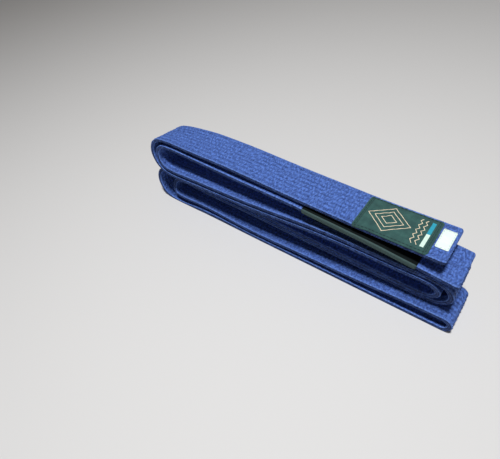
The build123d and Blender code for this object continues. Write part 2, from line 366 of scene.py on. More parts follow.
def ripple(s, v, side):
    """Shallow puckers that run across the strip."""
    total = np.zeros(np.broadcast(s, v).shape)
    for length, slant, phase in zip(wave_lengths, wave_slants, wave_phases):
        total += np.sin(FULL_TURN * (s + slant * v) / length + phase + side)
    return RIPPLE * total / math.sqrt(WAVES)


def bell(distance, width):
    """1 at distance 0, falling to nearly 0 at twice the width."""
    return np.exp(-((distance / width) ** 2))


def row_of(v):
    """Nearest stitch row, and the distance to it."""
    row = np.clip(np.round(v / ROW_PITCH + (ROWS - 1) / 2), 0, ROWS - 1)
    return row, np.abs(v - (row - (ROWS - 1) / 2) * ROW_PITCH)


# Each needle hole is a little off its even place and draws the cloth in more or less
HOLE_SHIFT = 0.14
HOLE_PULLS = (0.1, 1.3)
hole_shifts = noise_source.uniform(-HOLE_SHIFT, HOLE_SHIFT, (ROWS, stitch_count + ROWS))
hole_pulls = noise_source.uniform(*HOLE_PULLS, (ROWS, stitch_count + ROWS))


def hole(s, row):
    """How much the nearest needle hole draws a place in; neighbouring rows are half a stitch apart."""
    phase = s / pitch + row / 2
    nearest = np.clip(np.round(phase), 0, stitch_count + ROWS - 1).astype(int)
    lane = np.broadcast_to(row, nearest.shape).astype(int)
    away = np.abs(phase - nearest - hole_shifts[lane, nearest]) * pitch
    return bell(away, HOLE_LENGTH) * hole_pulls[lane, nearest]


def from_tip(s):
    """Distance to the nearer tip."""
    return np.minimum(s, strip_length - s)


# The layers inside the strip part a little where it is bent
BEND_SWELL = 0.22
BEND_REACH = 14 * MM


def bulk(s):
    """Thickness of the strip at s, as a multiple of its thickness where it is straight."""
    return 1 + BEND_SWELL * sum(bell(s - bend, BEND_REACH) for bend in bends[1:-1])


# How much painted shade the seams get: along a stitch row, at its needle holes, and along the strip's
# edges
GROOVE_SHADE, HOLE_SHADE, EDGE_SEAM_SHADE = 0.15, 0.85, 0.5


def seam_shade(s, v):
    """How much painted shade a place on a face gets where the stitching draws it in, from 0 to about 1.
    """
    row, away = row_of(v)
    edge = EDGE_SEAM_SHADE * bell(np.abs(v) - EDGE_SEAM, EDGE_SEAM_WIDTH)
    return bell(away, GROOVE_WIDTH) * (GROOVE_SHADE + HOLE_SHADE * hole(s, row)) + edge


# The quilting is pressed down where a label is sewn over it
LABEL_PRESS = 0.4 * MM
LABEL_MARGIN = 0.6 * MM


def label_bounds(node):
    """Edges of a label in strip coordinates: lowest and highest s, lowest and highest v."""
    low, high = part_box(node)
    s_low, s_high = s_of(high.x, "label"), s_of(low.x, "label")
    lane = float(centre(np.array((s_low + s_high) / 2))[0][1])
    return s_low, s_high, low.y - lane, high.y - lane


LABELS = [label_bounds("brand_label"), label_bounds("size_label")]


def under_labels(s, v):
    """1 under the labels, falling to 0 just outside them."""
    covered = 0.0
    for s_low, s_high, v_low, v_high in LABELS:
        border = np.minimum(np.minimum(s - s_low, s_high - s), np.minimum(v - v_low, v_high - v))
        covered = np.maximum(covered, smooth(1 + border / LABEL_MARGIN))
    return covered


# Share of the puff that a needle hole takes away, and where the hem's step starts and ends
PUFF_PULL = 0.45
HEM_SPREAD, HEM_START = 1.2, 0.1


def face_height(s, v, side):
    """Height of a face above the middle surface; side is 1 or -1."""
    row, away = row_of(v)
    sewn = bell(away, GROOVE_WIDTH)
    pulled = hole(s, row)
    puffed = PUFF * (1 - bell(away, PUFF_WIDTH)) * (1 - PUFF_PULL * pulled)
    end = from_tip(s)
    hem = HEM_RISE * (1 - smooth(end / HEM_LENGTH * HEM_SPREAD - HEM_START))
    hem = hem - GROOVE_DEPTH * bell(end - HEM_LENGTH, GROOVE_WIDTH)
    edge = EDGE_SEAM_DEPTH * bell(np.abs(v) - EDGE_SEAM, EDGE_SEAM_WIDTH)
    height = HALF_PLY * bulk(s) + puffed - edge - GROOVE_DEPTH * sewn - HOLE_DEPTH * sewn * pulled
    if side > 0:
        height = height - LABEL_PRESS * under_labels(s, v)
    return height + ripple(s, v, side) + hem


def tip_scale(s):
    """Plan and thickness shrink where a loose end is rounded off."""
    end = from_tip(s)
    corner = np.clip(CORNER_RADIUS - end, 0, CORNER_RADIUS)
    width = HALF_WIDTH - CORNER_RADIUS + np.sqrt(CORNER_RADIUS**2 - corner**2)
    edge = np.clip(HALF_PLY - end, 0, HALF_PLY * BLUNT_END)
    return width / HALF_WIDTH, np.sqrt(HALF_PLY**2 - edge**2) / HALF_PLY


face_places = np.arange(-FACE_REACH, FACE_REACH + ACROSS_STEP / 2, ACROSS_STEP)
side_places = np.array(SIDE_PROFILE) * MM
across = np.concatenate([face_places, side_places[:, 0], face_places[::-1], -side_places[:, 0]])
face_count = len(face_places)
side_count = len(side_places)
ring_size = len(across)

ring_count = stitch_count * RINGS_PER_STITCH
even_rings = np.arange(ring_count + 1) * strip_length / ring_count
tip_rings = np.array(TIP_RINGS) * MM
inner_rings = even_rings[(even_rings > tip_rings[-1]) & (even_rings < strip_length - tip_rings[-1])]
ring_s = np.concatenate([tip_rings, inner_rings, strip_length - tip_rings[::-1]])

# The sides swell and thin a little along the strip, the faces' long edges are painted paler, partly as
# wear and partly as a painted highlight, and one ring's outline gives all of them their texture
# coordinates
SIDE_SWELL, SIDE_SWELL_PERIOD = 0.03, 3.1
FACE_EDGE_WEAR_AND_HIGHLIGHT = 0.6
OUTLINE_RING = 50


def on_rings(upper_face, near_side, lower_face, far_side):
    """Values for all points of all rings, from those of each ring's four stretches."""
    parts = (upper_face, near_side, lower_face, far_side)
    return np.concatenate([np.broadcast_to(part, (len(ring_s), len(part[0]))) for part in parts], axis=1)


s_grid = ring_s[:, None]
swell = bulk(s_grid) * (1 + SIDE_SWELL * np.sin(FULL_TURN * s_grid / (SIDE_SWELL_PERIOD * pitch)))
side_height = side_places[:, 1] * swell
upper_height = face_height(s_grid, face_places, 1)
lower_height = face_height(s_grid, face_places[::-1], -1)
heights = on_rings(upper_height, side_height, -lower_height, -side_height)
# Painted shade in the grooves and needle holes, and on the sides
upper_shade, lower_shade = seam_shade(s_grid, face_places), seam_shade(s_grid, face_places[::-1])
seam_shades = on_rings(upper_shade, [SIDE_SHADE], lower_shade, [SIDE_SHADE])
face_wear_and_highlight = np.zeros((1, face_count))
face_wear_and_highlight[0, [0, -1]] = FACE_EDGE_WEAR_AND_HIGHLIGHT
wears_and_highlights = on_rings(face_wear_and_highlight, [SIDE_WEAR_AND_HIGHLIGHT], face_wear_and_highlight, [SIDE_WEAR_AND_HIGHLIGHT])
width_scale, height_scale = tip_scale(s_grid)
rings = place(s_grid, across * width_scale, heights * height_scale)
outline = np.stack([across, heights[OUTLINE_RING]], axis=-1)
around = distances_along(np.concatenate([outline, outline[:1]]))


# -------------------- materials
# Noise sizes and bump distances are in metres, thread periods and places in millimetres
SHEEN_ROUGHNESS = 0.5
NOISE_DETAIL = 2.0


def set_inputs(node, values):
    """Give the named inputs of a node their values."""
    for name, value in values.items():
        node.inputs[name].default_value = value


class Cloth:
    """Node material for a woven cloth, read in strip coordinates (millimetres)."""

    def __init__(self, name, sheen, sheen_tint=(1, 1, 1), specular=0.2):
        self.material = bpy.data.materials.new(name)
        self.material.use_nodes = True
        self.tree = self.material.node_tree
        self.shader = self.tree.nodes["Principled BSDF"]
        set_inputs(self.shader, {
            "Sheen Weight": sheen,
            "Sheen Roughness": SHEEN_ROUGHNESS,
            "Sheen Tint": (*sheen_tint, 1),
            "Specular IOR Level": specular,
        })
        self.strip = self.new("ShaderNodeUVMap")
        self.strip.uv_map = "strip"
        split = self.new("ShaderNodeSeparateXYZ")
        self.link(self.strip.outputs[0], split.inputs[0])
        self.along, self.across = split.outputs[0], split.outputs[1]
        self.position = self.new("ShaderNodeTexCoord").outputs["Object"]

    def new(self, kind):
        return self.tree.nodes.new(kind)

    def link(self, source, target):
        self.tree.links.new(source, target)

    def set(self, socket, value):
        """Give a socket a value, or link it to another socket."""
        if isinstance(value, bpy.types.NodeSocket):
            self.link(value, socket)
        else:
            socket.default_value = value

    def math(self, operation, first, second=0.0):
        node = self.new("ShaderNodeMath")
        node.operation = operation
        self.set(node.inputs[0], first)
        self.set(node.inputs[1], second)
        return node.outputs[0]

    def attribute(self, name):
        node = self.new("ShaderNodeAttribute")
        node.attribute_name = name
        return node.outputs["Fac"]

    def noise_at(self, position, scale, detail):
        node = self.new("ShaderNodeTexNoise")
        set_inputs(node, {"Scale": scale, "Detail": detail})
        self.link(position, node.inputs["Vector"])
        return node.outputs["Fac"]

    def noise(self, size, detail=NOISE_DETAIL):
        """Noise whose features are about size metres across."""
        return self.noise_at(self.position, 1 / size, detail)

    def crossways_noise(self, along, across):
        """Noise in strip coordinates; its features have these sizes in millimetres."""
        scaled = self.new("ShaderNodeMapping")
        set_inputs(scaled, {"Scale": (1 / along, 1 / across, 1)})
        self.link(self.strip.outputs[0], scaled.inputs["Vector"])
        return self.noise_at(scaled.outputs[0], 1.0, NOISE_DETAIL)

    def threads(self, along, across, period):
        """Sine ridges of the given period in millimetres; along and across tilt them."""
        u = self.math("MULTIPLY", self.along, along * FULL_TURN / period)
        v = self.math("MULTIPLY", self.across, across * FULL_TURN / period)
        return self.math("SINE", self.math("ADD", u, v))

    def mix(self, share, first, second):
        """Colour that runs from first to second as share runs from 0 to 1."""
        node = self.new("ShaderNodeMix")
        node.data_type = "RGBA"
        self.set(node.inputs["Factor"], share)
        for socket, value in ((node.inputs["A"], first), (node.inputs["B"], second)):
            self.set(socket, value if isinstance(value, bpy.types.NodeSocket) else (*value, 1))
        return node.outputs["Result"]

    def remap(self, value, low=0.3, high=0.7, low_out=0.0, high_out=1.0):
        """Value between low and high, spread over low_out to high_out."""
        node = self.new("ShaderNodeMapRange")
        for socket, number in zip(node.inputs[1:5], (low, high, low_out, high_out)):
            socket.default_value = number
        self.link(value, node.inputs[0])
        return node.outputs[0]

    def tint(self, under, over, mask, strength):
        """Colour under, with over laid on it by strength times mask."""
        return self.mix(self.math("MULTIPLY", mask, strength), under, over)

    def raised(self, height, extra, rise):
        """Height with rise times extra on top."""
        return self.math("ADD", height, self.math("MULTIPLY", extra, rise))

    def finish(self, colour, height, roughness, distance):
        """The material, with its colour, bump and roughness linked up."""
        bump = self.new("ShaderNodeBump")
        set_inputs(bump, {"Distance": distance, "Strength": 1.0})
        self.link(height, bump.inputs["Height"])
        self.link(colour, self.shader.inputs["Base Color"])
        self.link(bump.outputs[0], self.shader.inputs["Normal"])
        self.link(roughness, self.shader.inputs["Roughness"])
        return self.material


def shaded(colour, shade):
    return [shade * channel for channel in colour]


# Slant, period and height of a twill's finer threads, against those of its ribs
YARN_SLANT, YARN_PERIOD, YARN_RISE = -0.35, 0.62, 0.5


def twill(cloth, period):
    """Height of a twill weave: slanting ribs crossed by finer threads."""
    ribs = cloth.threads(along=1, across=1, period=period)
    yarns = cloth.threads(along=1, across=YARN_SLANT, period=YARN_PERIOD * period)
    return cloth.raised(ribs, yarns, YARN_RISE)


def quilted_cotton(name, base, painted_shade, lighter_tone):
    """Dyed cotton casing, with painted shade in the stitched grooves, in the puckers' dents and on the
    sides, and paler edges that are partly wear and partly painted highlight.
    """
    cloth = Cloth(name, sheen=0.18, sheen_tint=lighter_tone)
    weave = twill(cloth, period=0.9)
    cloudy = cloth.remap(cloth.noise(size=14 * MM, detail=3.0))
    speckle = cloth.remap(cloth.noise(size=1.5 * MM, detail=3.0), low=0.35, high=0.65)
    fibres = cloth.noise(size=0.35 * MM)
    pucker = cloth.remap(cloth.crossways_noise(along=1.6, across=3.2), low=0.40, high=0.60)
    dent = cloth.math("SUBTRACT", 1.0, pucker)
    patchy = cloth.remap(cloth.noise(size=5 * MM), low=0.35, high=0.6, low_out=0.5)
    seam_shading = cloth.math("MULTIPLY", cloth.attribute("seam_shade"), patchy)
    wear_and_highlight = cloth.math("MULTIPLY", cloth.attribute("wear_and_highlight"), speckle)
    colour = cloth.tint(base, shaded(base, shade=0.82), cloudy, strength=0.28)
    colour = cloth.tint(colour, lighter_tone, speckle, strength=0.34)
    colour = cloth.mix(cloth.remap(weave, low=-1.5, high=1.5, high_out=0.16), colour, lighter_tone)
    # Painted shade: darker in the puckers' dents, in the stitched grooves and on the sides
    colour = cloth.tint(colour, painted_shade, dent, strength=0.55)
    colour = cloth.tint(colour, painted_shade, seam_shading, strength=0.65)
    # Paler edges: partly wear, partly a painted highlight where the edges catch the light
    colour = cloth.tint(colour, lighter_tone, wear_and_highlight, strength=0.55)
    height = cloth.raised(weave, fibres, rise=2.2)
    height = cloth.raised(height, pucker, rise=9.0)
    rough = cloth.remap(fibres, low_out=0.78, high_out=0.96)
    return cloth.finish(colour, height, rough, distance=0.045 * MM)


def sewing_thread(name, base, light):
    """Twisted thread: slanting plies with a little lustre."""
    cloth = Cloth(name, sheen=0.1, sheen_tint=light)
    twist = cloth.threads(along=1, across=1.4, period=0.55)
    fibres = cloth.noise(size=0.4 * MM)
    colour = cloth.mix(cloth.remap(twist, low=-1, high=1, high_out=0.35), base, light)
    colour = cloth.tint(colour, shaded(base, shade=0.6), fibres, strength=0.3)
    rough = cloth.remap(fibres, low_out=0.5, high_out=0.75)
    return cloth.finish(colour, twist, rough, distance=0.05 * MM)


def satin(name, base, shade):
    """Smooth tag tape: fine lengthwise floats, slightly glossy."""
    cloth = Cloth(name, sheen=0.15)
    floats = cloth.threads(along=0.12, across=1, period=0.45)
    cloudy = cloth.remap(cloth.noise(size=5 * MM, detail=3.0))
    colour = cloth.tint(base, shade, cloudy, strength=0.45)
    colour = cloth.mix(cloth.remap(floats, low=-1, high=1, high_out=0.18), colour, shade)
    rough = cloth.remap(cloudy, low=0, high=1, low_out=0.38, high_out=0.55)
    return cloth.finish(colour, floats, rough, distance=0.03 * MM)


def sleeve_cloth(name, base, lighter_tone, edge_wear_and_highlight):
    """Black cotton sleeve: its near-black body is partly the black cloth and partly painted shade, and
    its long edges are painted a paler green-grey, partly wear and partly painted highlight.
    """
    cloth = Cloth(name, sheen=0.03, sheen_tint=(0.55, 0.8, 0.75), specular=0.1)
    weave = twill(cloth, period=0.8)
    cloudy = cloth.remap(cloth.noise(size=9 * MM, detail=4.0), low=0.35)
    fibres = cloth.noise(size=0.4 * MM)
    wear_and_highlight = cloth.math("MULTIPLY", cloth.attribute("wear_and_highlight"), cloth.remap(fibres, low_out=0.5))
    colour = cloth.tint(base, lighter_tone, cloudy, strength=0.5)
    colour = cloth.mix(cloth.remap(weave, low=-1.5, high=1.5, high_out=0.25), colour, lighter_tone)
    # Paler green-grey edges: partly wear, partly a painted highlight on the lit side
    colour = cloth.mix(wear_and_highlight, colour, edge_wear_and_highlight)
    height = cloth.raised(weave, fibres, rise=2.0)
    rough = cloth.remap(fibres, low_out=0.75, high_out=0.95)
    return cloth.finish(colour, height, rough, distance=0.05 * MM)


# The woven patch's pattern, in millimetres or as shares of its length or width
PATTERN_LINE = 0.35
DIAMONDS = (5.0, 9.5, 14.0)
DIAMOND_MIDDLE, DIAMOND_SLOPE = 0.62, 0.78
CHEVRONS = (0.17, 0.235)
CHEVRON_PERIOD, CHEVRON_RISE = 5.6, 2.2
BAR_MIDDLE, BAR_REACH = 0.105, 1.5
PATTERN_REACH = 0.36
END_LINES, END_LINE_WIDTH = (0.055, 0.945), 0.22


def patch_weave(name, ground, ground_dark, cream, accents, size):
    """Woven patch with a generic pattern: nested diamonds, two rows of chevrons and a two-tone bar."""
    length, width = size
    cloth = Cloth(name, sheen=0.2, sheen_tint=(0.7, 0.9, 0.85))
    u, v = cloth.along, cloth.across

    def distance(value, target):
        return cloth.math("ABSOLUTE", cloth.math("SUBTRACT", value, target))

    def near(value, target, reach):
        """1 where value is within reach of target."""
        return cloth.math("LESS_THAN", distance(value, target), reach)

    weft = cloth.threads(along=0, across=1, period=0.5)
    warp = cloth.threads(along=1, across=0, period=0.7)
    weave = cloth.math("MULTIPLY", weft, warp)
    cloudy = cloth.remap(cloth.noise(size=7 * MM, detail=3.0))
    colour = cloth.mix(cloudy, ground, ground_dark)
    lit = cloth.remap(weave, low=-1, high=1, high_out=0.22)
    colour = cloth.mix(lit, colour, shaded(ground, shade=1.9))

    middle = distance(v, width / 2)
    reach = cloth.raised(middle, distance(u, DIAMOND_MIDDLE * length), DIAMOND_SLOPE)
    for diamond in DIAMONDS:
        colour = cloth.mix(near(reach, diamond, PATTERN_LINE), colour, cream)

    zigzag = cloth.math("PINGPONG", v, CHEVRON_PERIOD / 2)
    slanted = cloth.math("SUBTRACT", u, cloth.math("MULTIPLY", zigzag, CHEVRON_RISE / CHEVRON_PERIOD * 2))
    inside = cloth.math("LESS_THAN", middle, PATTERN_REACH * width)
    for share in CHEVRONS:
        colour = cloth.tint(colour, cream, near(slanted, share * length, PATTERN_LINE), inside)

    bar = cloth.math("MULTIPLY", near(u, BAR_MIDDLE * length, BAR_REACH), inside)
    for side, accent in zip((1, 3), accents):
        colour = cloth.tint(colour, accent, near(v, side * width / 4, width / 4), bar)
    for share in END_LINES:
        line = near(u, share * length, END_LINE_WIDTH)
        colour = cloth.mix(line, colour, shaded(ground_dark, shade=0.5))

    # Painted shade along the sewn seam, where the patch is pulled in
    colour = cloth.tint(colour, ground_dark, cloth.attribute("seam_shade"), strength=0.7)
    height = cloth.raised(weave, cloth.noise(size=0.4 * MM), rise=1.5)
    rough = cloth.remap(cloudy, low=0, high=1, low_out=0.5, high_out=0.68)
    return cloth.finish(colour, height, rough, distance=0.05 * MM)


# Colours: cloth, its painted shade in seams, dents and sides, and its lighter tone for speckles, weave
# and edges (the edges partly wear, partly painted highlight); thread and its lights; tag and its shade
belt_cotton = quilted_cotton(
    "belt_cotton", (0.072, 0.158, 0.530), (0.007, 0.013, 0.062), (0.160, 0.290, 0.720)
)
belt_thread = sewing_thread("belt_thread", (0.030, 0.062, 0.260), (0.080, 0.160, 0.480))
label_thread = sewing_thread("label_thread", (0.010, 0.030, 0.028), (0.035, 0.085, 0.080))
size_thread = sewing_thread("size_thread", (0.55, 0.68, 0.64), (0.80, 0.90, 0.86))
bar_thread = sewing_thread("bar_thread", (0.010, 0.012, 0.014), (0.040, 0.048, 0.050))
size_satin = satin("size_satin", (0.76, 0.90, 0.84), (0.60, 0.74, 0.69))
# Sleeve: near-black body, partly its black cloth and partly painted shade; a lighter tone for clouds and
# weave; paler green-grey edges, partly wear and partly painted highlight
bar_cotton = sleeve_cloth(
    "bar_cotton", (0.0018, 0.0028, 0.0034), (0.006, 0.011, 0.011), (0.075, 0.125, 0.125)
)


# -------------------- making meshes
def new_object(name, data):
    """New object in the scene."""
    made = bpy.data.objects.new(name, data)
    bpy.context.scene.collection.objects.link(made)
    return made


def make_piece(name, points, faces, uvs, material, attributes=None):
    """New mesh object; uvs has one pair for each face corner, and attributes one value a point."""
    mesh = bpy.data.meshes.new(name)
    mesh.from_pydata(points.tolist(), [], faces)
    layer = mesh.uv_layers.new(name="strip")
    layer.data.foreach_set("uv", np.asarray(uvs, np.float32).ravel())
    for key, values in (attributes or {}).items():
        attribute = mesh.attributes.new(key, "FLOAT", "POINT")
        attribute.data.foreach_set("value", np.asarray(values, np.float32))
    mesh.shade_smooth()
    mesh.materials.append(material)
    return new_object(name, mesh)


def stand_for(piece, slot_name, *nodes):
    """Hide the CAD nodes that a piece replaces, and return the piece; slot_name is not used."""
    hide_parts(*nodes)
    return piece


def ring_faces(rows, columns):
    """Quads of a tube made of closed rings, outside facing out."""
    k = np.arange(columns)
    along = np.arange(rows - 1)[:, None] * columns
    ahead = (k + 1) % columns
    quads = np.stack([along + k, along + ahead, along + columns + ahead, along + columns + k], axis=-1)
    return quads.reshape(-1, 4)


def tube_uvs(u, v):
    """Corner places for ring_faces; v has one entry more than a ring has points."""
    corners_u = np.stack([u[:-1], u[:-1], u[1:], u[1:]], axis=-1)[:, None, :]
    corners_v = np.stack([v[:-1], v[1:], v[1:], v[:-1]], axis=-1)[None, :, :]
    return np.stack(np.broadcast_arrays(corners_u, corners_v), axis=-1).reshape(-1, 2)


def lined_piece(name, upper, lower, quads, rims, flat, material, seam_shade, wear_and_highlight):
    """Sheet and its underside, joined along each rim; flat has the sheet's texture coordinates."""
    count = len(flat)
    faces = [quads, quads[:, ::-1] + count]
    for rim in rims:
        ahead = np.roll(rim, -1)
        faces.append(np.stack([rim, rim + count, ahead + count, ahead], axis=-1))
    faces = np.concatenate(faces)
    points = np.concatenate([upper.reshape(-1, 3), lower.reshape(-1, 3)])
    uvs = np.concatenate([flat, flat])[faces.ravel()]
    attributes = {"seam_shade": np.tile(seam_shade, 2), "wear_and_highlight": np.tile(wear_and_highlight, 2)}
    return make_piece(name, points, faces.tolist(), uvs, material, attributes)


def cap_faces(first, flipped):
    """Faces that close a ring, by joining each point k to the point below it, mirror - k."""
    mirror = 2 * face_count + side_count - 1
    faces = []
    for k in range(-(side_count // 2), face_count + side_count // 2):
        a, b = k % ring_size, (k + 1) % ring_size
        face = [a, b, (mirror - b) % ring_size, (mirror - a) % ring_size]
        face = [point for n, point in enumerate(face) if point not in face[:n]]
        faces.append([first + point for point in (face[::-1] if flipped else face)])
    return faces


def strip_piece(name, first, last):
    """One stretch of the strip between two rings, closed at both ends."""
    rows = last + 1 - first
    count = rows * ring_size
    caps = cap_faces(count, flipped=True) + cap_faces(count + ring_size, flipped=False)
    faces = ring_faces(rows, ring_size).tolist() + caps
    flat = tube_uvs(ring_s[first : last + 1] / MM, around / MM)
    uvs = np.concatenate([flat, np.zeros((sum(len(face) for face in caps), 2))])
    # The caps have points of their own, so that their edges stay sharp
    ring_numbers = [*range(first, last + 1), first, last]
    points = rings[ring_numbers].reshape(-1, 3)
    attributes = {"seam_shade": seam_shades[ring_numbers].ravel(), "wear_and_highlight": wears_and_highlights[ring_numbers].ravel()}
    return make_piece(name, points, faces, uvs, belt_cotton, attributes)


# One stitch: stations along it, each with its share of the thickness, corners round it, and how
# deep its ends dive into the cloth
STITCH_STATIONS = ((-0.34, 0.85), (0.0, 1.0), (0.34, 0.85))
STITCH_CORNERS = 6
STITCH_DIVE = 0.5 * MM


def stitch_shape(length, width, thickness):
    """Points and faces of one stitch about its own middle: along, across, up."""
    points = [(-length / 2, 0, -STITCH_DIVE)]
    for share, size in STITCH_STATIONS:
        for corner in range(STITCH_CORNERS):
            turn = FULL_TURN * corner / STITCH_CORNERS
            sag = -STITCH_DIVE * (2 * abs(share)) ** 3
            points.append((
                share * length,
                size * width / 2 * math.cos(turn),
                sag + size * thickness / 2 * math.sin(turn),
            ))
    points.append((length / 2, 0, -STITCH_DIVE))
    last = len(points) - 1
    faces = []
    for corner in range(STITCH_CORNERS):
        ahead = (corner + 1) % STITCH_CORNERS
        faces.append((0, 1 + ahead, 1 + corner))
        for station in range(len(STITCH_STATIONS) - 1):
            low = 1 + station * STITCH_CORNERS
            high = low + STITCH_CORNERS
            faces.append((low + corner, low + ahead, high + ahead, high + corner))
        low = 1 + (len(STITCH_STATIONS) - 1) * STITCH_CORNERS
        faces.append((low + corner, low + ahead, last))
    return np.array(points), faces


def sewn_piece(name, seats, material, size, lengthwise=True):
    """Stitches at seats: rows of s, v, h and side. A crosswise row turns each stitch sideways."""
    shape, shape_faces = stitch_shape(*size)
    seats = np.asarray(seats, float)
    turned = shape if lengthwise else shape[:, [1, 0, 2]] * np.array([-1, 1, 1])
    s = seats[:, 0:1] + turned[:, 0]
    v = seats[:, 1:2] + turned[:, 1] * seats[:, 3:4]
    h = (seats[:, 2:3] + turned[:, 2]) * seats[:, 3:4]
    points = place(s, v, h).reshape(-1, 3)
    count = len(shape)
    faces = []
    for seat in range(len(seats)):
        faces += [[seat * count + corner for corner in face] for face in shape_faces]
    local = np.tile(shape[:, :2], (len(seats), 1)) / MM
    uvs = local[np.concatenate([np.array(face) for face in faces])]
    return make_piece(name, points, faces, uvs, material)


def quilting_seats(first_s, last_s):
    """Places of the quilting stitches between two distances along the strip, on both faces."""
    sink = STITCH_SINK - QUILTING_STITCH[2] / 2
    seats = []
    for row in range(ROWS):
        v = (row - (ROWS - 1) / 2) * ROW_PITCH
        for stitch in range(stitch_count):
            s = (stitch + 0.5 + (row % 2) / 2) * pitch
            if first_s <= s < last_s and from_tip(s) > HEM_LENGTH:
                for side in (1, -1):
                    seats.append((s, v, face_height(s, v, side) - sink, side))
    return seats


# -------------------- the strip's pieces
def ring_at(x, lowest_s, highest_s):
    """Ring nearest to x among the rings between two distances along the strip."""
    middles = place(ring_s, 0.0, np.zeros(len(ring_s)))
    away = np.abs(middles[:, 0] - x)
    away[(ring_s < lowest_s) | (ring_s > highest_s)] = np.inf
    return int(np.argmin(away))


tail_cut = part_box("label_tail_casing")[0].x
left_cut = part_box("strand_2_casing")[0].x
right_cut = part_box("strand_2_casing")[1].x

# The strip is divided once on every strand, clear of the places where it bends at a joint
TAIL_SPLIT = tail_cut - 35 * MM
FOLD_SPLIT = tail_cut - 15 * MM
split_places = [TAIL_SPLIT, *[FOLD_SPLIT] * (len(bends) - 3), TAIL_SPLIT]
splits = [0]
for split_x, lowest_s, highest_s in zip(split_places, bends, bends[1:]):
    splits.append(ring_at(split_x, lowest_s, highest_s))
splits.append(len(ring_s) - 1)

LAYERS = ("casing", "core_outer", "core_inner")
# Each piece of the strip: its name, the bodies it joins, and the CAD sections it stands for
STRETCHES = [
    ("label_end", ("strand_1", "label_end"), ("label_tail", "strand_1")),
    ("label_fold_1", ("strand_2", "strand_1"), ("fold_1", "strand_2")),
    ("label_fold_2", ("strand_3", "strand_2"), ("fold_2", "strand_3")),
    ("label_fold_3", ("strand_4", "strand_3"), ("fold_3",)),
    ("middle_loop", ("strand_4",), ("half_loop", "strand_4")),
    ("rank_fold_3", ("strand_4", "strand_3"), ("fold_3",)),
    ("rank_fold_2", ("strand_3", "strand_2"), ("fold_2", "strand_3")),
    ("rank_fold_1", ("strand_2", "strand_1"), ("fold_1", "strand_2")),
    ("rank_end", ("strand_1", "rank_end"), ("rank_tail", "strand_1")),
]
BEND_CLEARANCE = 0.4 * MM
BAR_CLEARANCE = 1.5 * MM
TAIL_BEND = 34 * MM


def blend_ends(name, first, last):
    """Where a stretch starts and stops bending between its two bodies: a fold bends inside itself."""
    if name.endswith("_end"):
        end_x = tail_cut + TAIL_BEND
        if name == "rank_end":
            end_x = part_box("rank_bar")[0].x - BAR_CLEARANCE
        return (tail_cut - TAIL_BEND, 0, 0), (end_x, 0, 0)
    middle = place(ring_s[first : last + 1], 0.0, np.zeros(last + 1 - first))
    in_strand = (middle[:, 0] > left_cut) & (middle[:, 0] < right_cut)
    half_way = (middle[:, 2].min() + middle[:, 2].max()) / 2
    lower = middle[in_strand & (middle[:, 2] < half_way), 2].max()
    upper = middle[in_strand & (middle[:, 2] > half_way), 2].min()
    reach = HALF_PLY + PUFF + BEND_CLEARANCE
    return (0, 0, lower + reach), (0, 0, upper - reach)


for (name, bodies, sections), first, last in zip(STRETCHES, splits[:-1], splits[1:]):
    cloth_piece = strip_piece(name + "_cloth", first, last)
    stand_for(cloth_piece, "belt_cotton", *[f"{part}_{layer}" for part in sections for layer in LAYERS])
    seats = quilting_seats(ring_s[first], ring_s[last])
    thread_piece = sewn_piece(name + "_quilting", seats, belt_thread, QUILTING_STITCH)
    stand_for(thread_piece, "belt_thread", *[part + "_stitching" for part in sections])
    for piece in (cloth_piece, thread_piece):
        if len(bodies) == 1:
            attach(piece, bodies[0])
        else:
            start, end = blend_ends(name, first, last)
            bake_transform(piece)
            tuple(start)
            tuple(end)


# -------------------- labels
# Mesh step of a label, reach of its rounded edge, share of its thickness at its very edge, how far
# its underside lies in the quilting, and how its seams pull it in
PATCH_STEP = 0.8 * MM
PATCH_ROUND = 0.8 * MM
PATCH_RIM = 0.35
PATCH_BEDDING = 0.15 * MM
SEAM_SINK, SEAM_REACH = 0.22 * MM, 0.7 * MM

# Labels give way a little over the strip's rounded long edges
EDGE_DROP = 1.1 * MM
EDGE_DROP_FROM = 17.2 * MM
EDGE_DROP_WIDTH = 2.6 * MM
# The woven patch is a little wider than the strip's flat top: its front edge hangs over the
# strip's edge, and most of all at the corner furthest from the tip
PATCH_HANG = 0.9 * MM
CORNER_HANG = 1.8 * MM
CORNER_LENGTH = 14 * MM
HANG_FROM = 8 * MM
WRAP_START = 18.8 * MM
WRAP_RADIUS = 1.6 * MM


def lying(s, v, s_corner):
    """Place across and drop of a label's point; s_corner is the hanging corner's s, or None."""
    down = EDGE_DROP * smooth((np.abs(v) - EDGE_DROP_FROM) / EDGE_DROP_WIDTH)
    if s_corner is None:
        return v, down
    amount = PATCH_HANG + CORNER_HANG * smooth(1 - (s_corner - s) / CORNER_LENGTH)
    hung = v - amount * smooth((-v - HANG_FROM) / (HALF_WIDTH - HANG_FROM))
    beyond = np.maximum(-hung - WRAP_START, 0)
    turn = np.minimum(beyond / WRAP_RADIUS, math.pi / 2)
    wrap = WRAP_RADIUS * (1 - np.cos(turn)) + beyond - WRAP_RADIUS * turn
    across_edge = np.where(beyond > 0, -WRAP_START - WRAP_RADIUS * np.sin(turn), hung)
    return across_edge, np.where(v < 0, wrap, down)


def rounded(border, reach):
    """From 0 at an edge to 1 at reach from it, along a quarter circle."""
    return np.sqrt(np.clip(1 - (1 - np.clip(border / reach, 0, 1)) ** 2, 0, 1))


